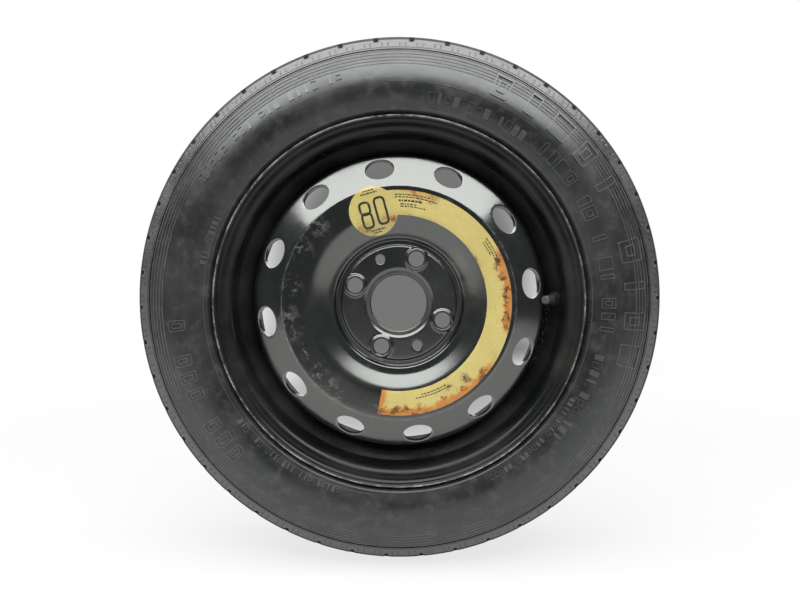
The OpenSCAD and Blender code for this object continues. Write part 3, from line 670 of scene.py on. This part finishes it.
# The shoulder's outline below its edge, the places of its pips, and a hair's width for sharp steps
FACE_STEPS = (0.06, 0.18, 0.32, 0.37, 0.41, 0.5, 0.6, 0.68, 0.9)
FOOT = [SHOULDER_DROP, np.array([9.0, -12.7]), np.array([9.9, -13.9]), np.array([11.3, -14.3])]
PIP_FROM, PIP_TO, PIP_HALF, PIP_DEPTH, PIPS = 3.3, 7.6, 0.8, 0.9, (1, 2, 4, 5)
HAIR, HAIR_DEG = 0.02, 0.03
BLOCK_IN = GROOVES[-1] + GROOVE_W / 2 + 3
SIPE_FROM, SIPE_TO = GROOVES[2] + GROOVE_W / 2 - 1, GROOVES[3] - GROOVE_W / 2 - 2.4


def tread_rows():
    """Rows across the tread's crown, with the groove depths."""
    zs = set(np.round(np.linspace(-SHOULDER_Z, SHOULDER_Z, 17), 3))
    rows = []
    for g in GROOVES:
        lo, hi = g - GROOVE_W / 2, g + GROOVE_W / 2
        zs = {z for z in zs if not lo - 0.4 < z < hi + 0.4}
        rows += [(lo - HAIR, 0), (lo + HAIR, GROOVE_DEPTH), (g, GROOVE_DEPTH),
                 (hi - HAIR, GROOVE_DEPTH), (hi + HAIR, 0)]
    zs = {z for z in zs if abs(abs(z) - BLOCK_IN) > 0.5}
    zs |= {side * BLOCK_IN + e for side in (-1, 1) for e in (-HAIR, HAIR)}
    return sorted(rows + [(z, 0) for z in zs])


def tyre_tread(look):
    """Crown and shoulders: grooves along the rows, notches, sipes and pips along the columns."""
    pitch = 360.0 / NOTCHES
    mm_deg = math.degrees(1 / SHOULDER[1])
    mouth, root, sipe, pip = (w * mm_deg for w in (NOTCH_W / 2, NOTCH_ROOT / 2, SIPE_W / 2, PIP_HALF))
    pips = [pitch * k / 6 for k in PIPS]
    cols = []
    for places, offsets in (((0.0, pitch / 2), (mouth, root, 0.0)),
                            ((pitch / 4, pitch * 3 / 4), (sipe + HAIR_DEG, sipe)), (pips, (pip, pip / 2))):
        cols += [at + side * d for at in places for d in offsets for side in (-1, 1)]
    cols = np.array(sorted(c % pitch for c in cols))
    cols = cols[np.concatenate([[True], np.diff(cols) > 1e-6])]
    angle = (np.arange(NOTCHES)[:, None] * pitch + cols[None, :]).ravel()
    phase = np.tile(cols, NOTCHES)

    def slot(at, half, ramp):
        """1 within half a width of a place, falling to 0 over a ramp."""
        d = np.abs((phase - at + pitch / 2) % pitch - pitch / 2)
        return np.clip((half + ramp - d) / ramp, 0, 1)

    root_r = SHOULDER[1] - NOTCH_DEPTH
    sides = [t * SHOULDER_DROP for t in FACE_STEPS] + FOOT
    line = [(-SHOULDER_Z - p[0], SHOULDER[1] + p[1], 0) for p in sides[::-1]]
    line += [(z, float(crown_at(z)), g) for z, g in tread_rows()]
    line += [(SHOULDER_Z + p[0], SHOULDER[1] + p[1], 0) for p in sides]
    verts = []
    for z, base, groove in line:
        r = np.full(len(angle), base - groove)
        side = abs(z)
        if side > BLOCK_IN:
            r = r - slot(0.0 if z > 0 else pitch / 2, root, mouth - root) * np.clip(r - root_r, 0, None)
        if SIPE_FROM < side < SIPE_TO and groove == 0:
            r = r - slot(pitch / 4 if z > 0 else pitch * 3 / 4, sipe, HAIR_DEG) * SIPE_DEPTH
        if SHOULDER_Z + PIP_FROM < side < SHOULDER_Z + PIP_TO:
            for at in pips:
                r = r - slot(at, pip / 2, pip / 2) * PIP_DEPTH
        verts.append(to_row(r, np.radians(angle + NOTCH_PHASE), z))
    return make("tyre_tread", np.array(verts), grid_faces(len(line), len(angle)), look,
                node="tyre", crease=38.0, slot="tyre_rubber")


def tyre_walls(look):
    line = wall_line()
    revolved("tyre_outer_wall", line[::-1], look, 480, node="tyre", crease=50.0, slot="tyre_rubber")
    revolved("tyre_inner_wall", line * [-1, 1], look, 360, node="tyre", crease=50.0, slot="tyre_rubber")


# The rim, with the width and height of the humps inside its bead seats

HUMP_W, HUMP_H = 3.3, 0.9


def rim_corners():
    """The rim's outside from its inboard lip to its outboard one: flanges, seats, humps and well."""
    hump_z = FACE_Z - BEAD_W - 0.8
    seat = SEAT_R - (FACE_Z - hump_z) * math.tan(math.radians(TAPER))
    top = (hump_z - 2 * HUMP_W - 1.8, seat - 1)
    outer = [(*top, 5), (hump_z - 2 * HUMP_W, seat - 0.4, 2), (hump_z - HUMP_W, seat + HUMP_H, 4),
             (hump_z, seat, 2), (FACE_Z, SEAT_R, 6), (FACE_Z, FLANGE_R, 8),
             (FACE_Z + FLANGE_W - 2.5, FLANGE_R, 4), (FACE_Z + FLANGE_W, FLANGE_R - 1.6, 0)]

    def side(slope):
        return [(top[0] - (top[1] - WELL_R) / math.tan(math.radians(slope)), WELL_R, 8)] + outer

    return [(-z, r, t) for z, r, t in side(SLOPE_IN)[::-1]] + side(SLOPE)


def rim(look):
    """The rolled band, its section closed by the same line moved inward."""
    corners = rim_corners()
    outside = rounded(corners, 9.0)
    inside = rounded(moved(corners, -RIM_T), 9.0)
    line = np.concatenate([outside, inside[::-1], outside[:1]])
    return revolved("rim_band", refined(line, 12.0), look, 320, node="rim", crease=40.0, slot="black_enamel")


# The disc

def disc_corners():
    """The disc's front from its bore to its skirt: bolt zone, ring, bowl, crown and vent cone."""
    ring_z = OFFSET + DISC_T
    in_r, zone_r = PCD_R - ZONE_IN, PCD_R + ZONE_OUT
    out_r = zone_r + RING_W
    bowl_z = ring_z + 5
    return [(ring_z, BORE_R, 0), (ring_z, in_r - 1, 1.5), (ring_z + ZONE_H, in_r + 1.5, 2),
            (ring_z + ZONE_H, zone_r - 1, 2), (ring_z, zone_r + 1.5, 1.2), (ring_z, out_r, 1.2),
            (bowl_z - 0.6, out_r + 2.4, 2), (bowl_z, out_r + 8, 12), (CROWN_Z - 1.6, out_r + 25, 22),
            (CROWN_Z, CROWN_R - 1, 6), (CROWN_Z - CONE_W * CONE_FALL, WELL_IN_R, 15),
            (-SKIRT_IN, WELL_IN_R, 0)]


def around(s, a):
    """Flat points at a distance and an angle."""
    return np.stack([s * np.cos(a), s * np.sin(a)], -1)


class Skin:
    """The disc's front as a flat sheet: its points are polar, their radius is length along the profile."""

    def __init__(self):
        line = rounded(disc_corners(), 4.0)
        self.line = line[np.diff(along(line), prepend=-1) > 1e-6]
        self.s = BORE_R + along(self.line)
        fine = refined(self.line, 0.25)
        self.fine_s = BORE_R + along(fine)
        self.fine_n = normals(fine)

    def lift(self, flat, height):
        """Points of the sheet set on the disc, raised by a height along its normal."""
        s, a = np.hypot(flat[:, 0], flat[:, 1]), np.arctan2(flat[:, 1], flat[:, 0])
        z, r = (np.interp(s, self.s, row) for row in self.line.T)
        nz, nr = (np.interp(s, self.fine_s, row) for row in self.fine_n.T)
        return to_row(r + nr * height, a, z + nz * height)

    def flat(self, r, a):
        """A point of the sheet at a radius, short of the skirt's, and an angle."""
        return around(np.interp(r, self.line[:, 1], self.s), a)

    def flat_xy(self, x, y, turn=0.0):
        """The same at a place in the wheel's plane."""
        return self.flat(np.hypot(x, y), np.arctan2(y, x) + turn)

    def grid(self, longest, a):
        """Points of the sheet at some angles, in rings that follow the profile."""
        s = np.unique(np.round(refined(np.stack([self.s, self.s * 0], 1), longest)[:, 0], 4))
        return around(s[:, None], a).reshape(-1, 2)


SKIN = Skin()


# Kinds of hole: radius of the circle they stand on, points round one, and how far a slope narrows it
VENT_HOLE, HUB_HOLE = (VENT_MID, 72, CONE_COS), (PCD_R, 48, 1.0)
# Pressed edges of the holes, as (radius, height above the disc's front)
BOLT_EDGE = [(13.2, 0), (12.6, 0.12), (12.0, 0.55), (11.3, 1.3), (10.7, 1.9), (10.1, 2.2), (9.6, 2.2),
             (9.35, 2.05), (9.0, 1.6), (8.3, 0.4), (7.7, -0.6), (7.6, -0.9)]
PIN_EDGE = [(5.9, 0), (5.4, -0.08), (5.0, -0.3), (4.8, -0.8)]
VENT_EDGE = [(17.1, 0), (16.4, -0.1), (15.85, -0.4), (15.55, -0.9), (15.5, -1.4)]


def ring(kind, radius, centre_a):
    """A circle round a hole, drawn on the sheet."""
    middle, count, narrowed = kind
    t = turns(count)
    return SKIN.flat_xy(middle + radius * np.cos(t) * narrowed, radius * np.sin(t), centre_a)


def disc_holes():
    """Each hole of the disc: its kind, its angle and its edge."""
    bolts = [(HUB_HOLE, BOLT_PHASE + 360 / BOLTS * i, BOLT_EDGE) for i in range(BOLTS)]
    pins = [(HUB_HOLE, BOLT_PHASE + a, PIN_EDGE) for a in PIN_ANGLES]
    vents = [(VENT_HOLE, VENT_PHASE + 360 / VENTS * i, VENT_EDGE) for i in range(VENTS)]
    return [(kind, math.radians(a), edge) for kind, a, edge in bolts + pins + vents]


def triangles(pts, links, near):
    """A flat triangulation: its points, faces and faces' centres, and which given point each one was."""
    made = delaunay_2d_cdt([Vector(p) for p in pts.tolist()], links, [], 0, near)
    xy, faces = np.array([(v.x, v.y) for v in made[0]]), np.array(made[2])
    return xy, faces, xy[faces].mean(1), [o[0] if o else -1 for o in made[3]]


# Further than any hole reaches from its middle, in millimetres
HOLE_REACH = 24


def sheet(longest, cols, edges):
    """The flat sheet with its holes, with or without pressed edges: points, heights, faces, rings."""
    grid = SKIN.grid(longest, turns(cols))
    keep = np.ones(len(grid), bool)
    extra, heights, loops = [], [], []
    count = 0
    for kind, at, edge in disc_holes():
        outer = ring(kind, edge[0][0], at)
        middle = outer.mean(0)
        reach = np.linalg.norm(outer - middle, axis=1).max() + 3
        close = np.where(np.linalg.norm(grid - middle, axis=1) < reach)[0]
        margin = ring(kind, edge[0][0] + 0.5 if edges else edge[-1][0] + 0.8, at)
        keep[close[inside(grid[close], margin)]] = False
        rings = []
        for radius, height in edge if edges else edge[-1:]:
            pts = ring(kind, radius, at)
            extra.append(pts)
            heights += [height if edges else 0.0] * len(pts)
            rings.append(np.arange(count, count + len(pts)))
            count += len(pts)
        loops.append(rings)
    pts = np.concatenate(extra + [grid[keep]])
    links = [(int(a), int(b)) for rings in loops for loop in rings for a, b in zip(loop, np.roll(loop, -1))]
    xy, faces, centre, origin = triangles(pts, links, 1e-7)
    far = np.linalg.norm(centre, axis=1)
    ok = (far > BORE_R * 0.999) & (far < SKIN.s[-1])
    for rings in loops:
        hole = pts[rings[-1]]
        close = np.where(np.linalg.norm(centre - hole.mean(0), axis=1) < HOLE_REACH)[0]
        ok[close[inside(centre[close], hole)]] = False
    place = {o: i for i, o in enumerate(origin) if o >= 0}
    height = np.array([heights[o] if 0 <= o < count else 0.0 for o in origin])
    rings = [[np.array([place[int(k)] for k in loop]) for loop in rings] for rings in loops]
    return xy, height, faces[ok], rings


def inside(pts, loop):
    """Which points lie inside a closed line."""
    out = np.zeros(len(pts), bool)
    for a, b in zip(loop, np.roll(loop, -1, axis=0)):
        cross = (a[1] > pts[:, 1]) != (b[1] > pts[:, 1])
        with np.errstate(divide="ignore", invalid="ignore"):
            x = (b[0] - a[0]) * (pts[:, 1] - a[1]) / (b[1] - a[1]) + a[0]
        out ^= cross & (pts[:, 0] < x)
    return out


def disc(look):
    """The pressed disc: its front, its plainer back, the walls of its holes and its two rims."""
    xy, height, faces, loops = sheet(4.0, 360, True)
    back_xy, _, back_faces, back_loops = sheet(6.0, 180, False)
    n = len(xy)
    verts = [SKIN.lift(xy, height), SKIN.lift(back_xy, -DISC_T)]
    all_faces = [tuple(f) for f in faces] + [tuple(f[::-1] + n) for f in back_faces]
    for rings, back_rings in zip(loops, back_loops):
        a, b = rings[-1], back_rings[-1] + n
        for k in range(len(a)):
            m = (k + 1) % len(a)
            all_faces.append((a[m], a[k], b[k], b[m]))
    base = n + len(back_xy)
    for s, flip in ((BORE_R, False), (SKIN.s[-1], True)):
        border = around(s, turns(360))
        verts += [SKIN.lift(border, height) for height in (0.0, -DISC_T)]
        all_faces += [tuple(q) for q in grid_faces(2, len(border), flip) + base]
        base += len(border) * 2
    return make("disc_shell", np.concatenate(verts), all_faces, look,
                node="wheel_disc", crease=32.0, slot="black_enamel", merge=True)


# The label and its print

# How far the film reaches into the disc, and how far its figures and dashes stand off it
LABEL_SUNK, PRINT_LIFT, DASH_LIFT = 0.05, 0.06, 0.05


def label_sheet(look):
    """The yellow film, laid on the disc: its band and its round field in one piece."""
    in_r, out_r = CROWN_R - LABEL_GAP - LABEL_W, CROWN_R - LABEL_GAP
    start, end = math.radians(LABEL_START), math.radians(LABEL_END)
    turn, across = np.linspace(start, end, 202), np.linspace(out_r, in_r, 14)[1:-1]
    band = np.concatenate([SKIN.flat(out_r, turn), SKIN.flat(across, end),
                           SKIN.flat(in_r, turn[::-1]), SKIN.flat(across[::-1], start)])
    at, t = math.radians(FIELD_A), turns(120)
    field = SKIN.flat_xy(FIELD_MID * math.cos(at) + FIELD_R * np.cos(t),
                         FIELD_MID * math.sin(at) + FIELD_R * np.sin(t))
    grid = SKIN.grid(2.5, np.radians(np.arange(0, 360, 1.5)))
    grid = grid[inside(grid, band) | inside(grid, field)]
    links = [(k + i, k + (i + 1) % n) for k, n in ((0, len(band)), (len(band), len(field)))
             for i in range(n)]
    xy, faces, centre, _ = triangles(np.concatenate([band, field, grid]), links, 1e-6)
    faces = faces[inside(centre, band) | inside(centre, field)]
    top, low = (SKIN.lift(xy, height) for height in (LABEL_T, -LABEL_SUNK))
    edges = [(int(f[i]), int(f[(i + 1) % 3])) for f in faces for i in range(3)]
    seen, n = set(edges), len(xy)
    walls = [(b, a, a + n, b + n) for a, b in edges if (b, a) not in seen]
    return make("label_film", np.concatenate([top, low]), [tuple(f) for f in faces] + walls, look,
                node="yellow_label", crease=30.0, slot="label_film", merge=True)


# Rows of dashes: in the field as width, height and place up from its middle; on the band as radius,
# first and last angle and height
FIELD_DASHES = [(17, 1.5, 18.6), (12, 1.2, 21.3), (15, 1.5, -18.6), (9, 1.1, -21.2)]
BAND_DASHES = [(111.0, 92, 75, 1.1), (108.6, 92, 70, 1.1), (105.0, 90, 78, 1.8), (101.5, 89, 80, 1.1),
               (99.2, 89, 74, 1.1), (111.0, 37, 27, 1.1), (108.4, 36, 26, 1.1), (105.8, 36, 29, 1.1),
               (96.5, -60, -76, 1.1), (99.2, -58, -80, 1.1)]
# The number 80, as loops: place across and up from the field's middle, and height
FIGURE_LOOPS = [(-7.9, 4.4, 12.4), (-7.9, -7.8, 14.4), (7.9, -1.2, 26.6)]
FIGURE_W, FIGURE_R, STROKE = 10.0, 4.2, 2.3


def label_print(look):
    """The label's plain number, and rows of dashes where its small print was."""
    verts, faces = [], []
    at = math.radians(FIELD_A)
    level = at - math.pi / 2
    rng = random.Random(11)

    def put(pts, shapes, x0, z0, turn, height):
        x, y = np.asarray(pts, float).T
        c, d = math.cos(turn), math.sin(turn)
        count = sum(map(len, verts))
        faces.extend(tuple(i + count for i in f) for f in shapes)
        verts.append(SKIN.lift(SKIN.flat_xy(x0 + x * c - y * d, z0 + x * d + y * c), height))

    def field(x, y):
        """A place in the field, from its middle and in its own directions."""
        return (math.cos(at) * (FIELD_MID + y) + math.cos(level) * x,
                math.sin(at) * (FIELD_MID + y) + math.sin(level) * x)

    def bar(w, h, x0, z0, turn):
        cuts = max(1, round(w / 3))
        pts = [(x, s * h / 2) for s in (-1, 1) for x in np.linspace(-w / 2, w / 2, cuts + 1)]
        shapes = [(i, i + 1, cuts + 2 + i, cuts + 1 + i) for i in range(cuts)]
        put(pts, shapes, x0, z0, turn, LABEL_T + DASH_LIFT)

    for x, y, h in FIGURE_LOOPS:
        path = box_loop(FIGURE_W, h, FIGURE_R)
        path = refined(np.concatenate([path, path[:1]]), 1.5)[:-1]
        rows, n = ridge(path, STROKE, 0), len(path)
        shapes = [(n + j, n + (j + 1) % n, (j + 1) % n, j) for j in range(n)]
        put(np.concatenate([rows[0][0], rows[3][0]]), shapes, *field(x, y), level, LABEL_T + PRINT_LIFT)
    for w, h, y in FIELD_DASHES:
        left = -w / 2
        while left < w / 2 - 1:
            d = min(rng.uniform(1.2, 3.4), w / 2 - left)
            bar(d, h, *field(left + d / 2, y), level)
            left += d + 0.7
    for radius, start, end, h in BAND_DASHES:
        a = start
        while a > end:
            d = rng.uniform(1.3, 3.8)
            t = math.radians(a - math.degrees(d / 2 / radius))
            bar(d, h, radius * math.cos(t), radius * math.sin(t), t - math.pi / 2)
            a -= math.degrees((d + 0.9) / radius)
    return make("label_print", np.concatenate(verts), faces, look, slot="label_film")


# The spring of the valve's core


def spring_coil(look):
    """The core's spring as built, copied from its solid and put in its place."""
    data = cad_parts["core_spring"].data.copy()
    data.name = "spring_coil"
    data.materials.clear()
    data.materials.append(look)
    coil = placed("spring_coil", data)
    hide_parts("core_spring")
    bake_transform(coil)


# Stage, light and camera

# Distances in millimetres, angles in degrees; AIM is right of and above the wheel's middle
CAMERA_D, CAMERA_LENS, CAMERA_ELEVATION, CAMERA_AZIMUTH, AIM = 727.5, 29.36, 3.0, 0.45, (0.9, 0.6)
# The sweep: half its width, where it ends in front and behind, its height and its bend, in metres
SWEEP_X, SWEEP_FRONT, SWEEP_BACK, SWEEP_TOP, SWEEP_BEND = 14.0, -14.0, 3.2, 6.0, 0.8
GROUND = -TYRE_R * MM
# How much of the sweep is plain white to the camera, near the wheel's foot and far from it
WHITE_NEAR, WHITE_FAR = 0.78, 1.0
# Painted shade: a painted shadow on the backdrop behind the wheel and another on the floor behind it, and
# painted shade on the floor far in front of it
WALL_Z, WALL_SHADOW_LEVEL, BEHIND_AT, BEHIND_REACH, BEHIND_SHADOW_LEVEL, FRONT_SHADE_LEVEL = 0.12, 0.18, 0.95, (0.5, 0.75), 0.42, 0.12
LAMP_AT, LAMP_SIZE, LAMP_RADIANCE = (-0.16, -0.88, 1.6), (3.8, 2.36), 4.0
AIR, AIR_STRENGTH = (0.93, 0.98, 1.0, 1), 0.12


def stage_look():
    """A pale matt sweep that looks white but keeps some of the shadow, with painted shadow behind the wheel
    and painted shade far in front of it.
    """
    look = Look("studio_sweep", (0.6, 0.6, 0.59), 0.9, specular=0.2)
    rays = look.node("ShaderNodeLightPath").outputs
    seen = look.math("MAXIMUM", rays["Is Camera Ray"], rays["Is Glossy Ray"], rays["Is Transmission Ray"])
    y = look.node("ShaderNodeSeparateXYZ", {0: look.where}).outputs["Y"]
    from_foot = look.vector("DISTANCE", look.where, (0, 0, GROUND))
    share = look.between(from_foot, 0.35, 1.3, WHITE_NEAR, WHITE_FAR)
    grain = look.noise(3.0, 3.0)
    look.set("Base Color", look.mix(look.between(grain, 0.3, 0.7), (0.59, 0.59, 0.58), (0.61, 0.61, 0.6)))
    # Painted shadow on the backdrop behind the wheel
    off = look.vector("DISTANCE", look.vector("MULTIPLY", look.where, (1, 0, 1)), (0, 0, WALL_Z))
    wall = look.both(look.between(off, 0.45, 1.1, 1.0, 0.0), look.between(y, 0.9, 1.9))
    # Painted shade on the floor far in front of the wheel
    front = look.both(look.between(from_foot, 0.85, 2.3), look.between(y, -0.4, 0.5, 1.0, 0.0))
    # Painted shadow on the floor behind the wheel
    behind = look.vector("SUBTRACT", look.where, (0, BEHIND_AT, 0))
    behind = look.vector("MULTIPLY", behind, (1 / BEHIND_REACH[0], 1 / BEHIND_REACH[1], 0))
    # The painted shadows and shade darken the white that the camera and reflections see
    painted_shade = look.both(look.between(wall, 0.0, 1.0, 1.0, WALL_SHADOW_LEVEL),
                    look.between(look.vector("LENGTH", behind), 0.4, 1.0, BEHIND_SHADOW_LEVEL, 1.0),
                    look.between(front, 0.0, 1.0, 1.0, FRONT_SHADE_LEVEL))
    white = look.mix(painted_shade, (0.0, 0.0, 0.0), (1.0, 1.0, 1.0))
    glow = look.node("ShaderNodeEmission", {"Color": white, "Strength": 1.0}).outputs[0]
    blend = look.node("ShaderNodeMixShader", {0: look.both(seen, share), 1: look.shader.outputs[0], 2: glow})
    look.link(blend.outputs[0], look.tree.nodes["Material Output"].inputs["Surface"])
    return look.mat


def stage():
    """Floor and backdrop in one, joined by a bend."""
    arc = [(SWEEP_BACK + SWEEP_BEND * (math.sin(t) - 1), GROUND + SWEEP_BEND * (1 - math.cos(t)))
           for t in np.linspace(0, math.pi / 2, 13)]
    line = [(SWEEP_FRONT, GROUND)] + arc + [(SWEEP_BACK, SWEEP_TOP)]
    mesh = bpy.data.meshes.new("studio_sweep")
    mesh.from_pydata([(s * SWEEP_X, y, z) for y, z in line for s in (-1, 1)], [],
                     [(2 * i, 2 * i + 1, 2 * i + 3, 2 * i + 2) for i in range(len(line) - 1)])
    mesh.shade_smooth()
    mesh.materials.append(stage_look())
    sweep = placed("studio_sweep", mesh)


def light():
    """One large soft box overhead and a faint, even world."""
    lamp = bpy.data.lights.new("top_box", "AREA")
    lamp.shape = "RECTANGLE"
    lamp.size, lamp.size_y = LAMP_SIZE
    lamp.energy = LAMP_RADIANCE * 4 * LAMP_SIZE[0] * LAMP_SIZE[1]
    box = placed("top_box", lamp)
    box.location = LAMP_AT
    down = Vector((LAMP_AT[0], LAMP_AT[1] + 0.001, 0)) - Vector(LAMP_AT)
    box.rotation_euler = down.to_track_quat("-Z", "Y").to_euler()
    world = bpy.data.worlds.new("studio_air")
    world.use_nodes = True
    air = world.node_tree.nodes["Background"].inputs
    air["Color"].default_value = AIR
    air["Strength"].default_value = AIR_STRENGTH
    bpy.context.scene.world = world


def camera():
    """The photo's view, from the wheel's distance to its middle."""
    data = bpy.data.cameras.new("photo_camera")
    data.lens = CAMERA_LENS
    data.sensor_width = 36.0
    data.clip_start, data.clip_end = 0.01, 50.0
    ob = placed("photo_camera", data)
    a, e = math.radians(CAMERA_AZIMUTH), math.radians(CAMERA_ELEVATION)
    back = Vector((math.sin(a) * math.cos(e), -math.cos(a) * math.cos(e), math.sin(e)))
    ob.location = back * CAMERA_D * MM
    right = Vector((math.cos(a), math.sin(a), 0))
    aim = right * AIM[0] * MM + Vector((0, 0, AIM[1] * MM)) - ob.location
    ob.rotation_euler = aim.to_track_quat("-Z", "Y").to_euler()
    bpy.context.scene.camera = ob
    bpy.context.scene.view_settings.view_transform = "Standard"


camera()
stage()
light()
tyre_tread(tread_look())
tyre_walls(rubber_look("tyre_rubber"))
tyre_marks(rubber_look("raised_rubber", 0.035))
rim(rim_look())
disc(disc_look())
label_sheet(label_look())
label_print(ink_look())
brass = plain_look("worn_brass", (0.5, 0.38, 0.18), 0.35, 1.0)
black_rubber = plain_look("black_rubber", (0.02, 0.02, 0.021), 0.5)
for node_name, node_look in (
        ("disc_welds", plain_look("weld_bead", (0.04, 0.042, 0.044), 0.5)),
        ("valve_rubber", black_rubber),
        ("valve_stem", brass),
        ("core_plug", brass),
        ("core_barrel", plain_look("plated_brass", (0.6, 0.58, 0.5), 0.3, 1.0)),
        ("core_gasket", plain_look("red_seal", (0.35, 0.03, 0.02), 0.55)),
        ("core_pin", brass),
        ("core_cup", brass),
        ("core_seal", black_rubber),
        ("valve_cap", plain_look("cap_plastic", (0.11, 0.11, 0.105), 0.3))):
    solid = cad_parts[node_name]
    solid.data.materials.clear()
    solid.data.materials.append(node_look)
spring_coil(plain_look("spring_wire", (0.45, 0.45, 0.46), 0.3, 1.0))
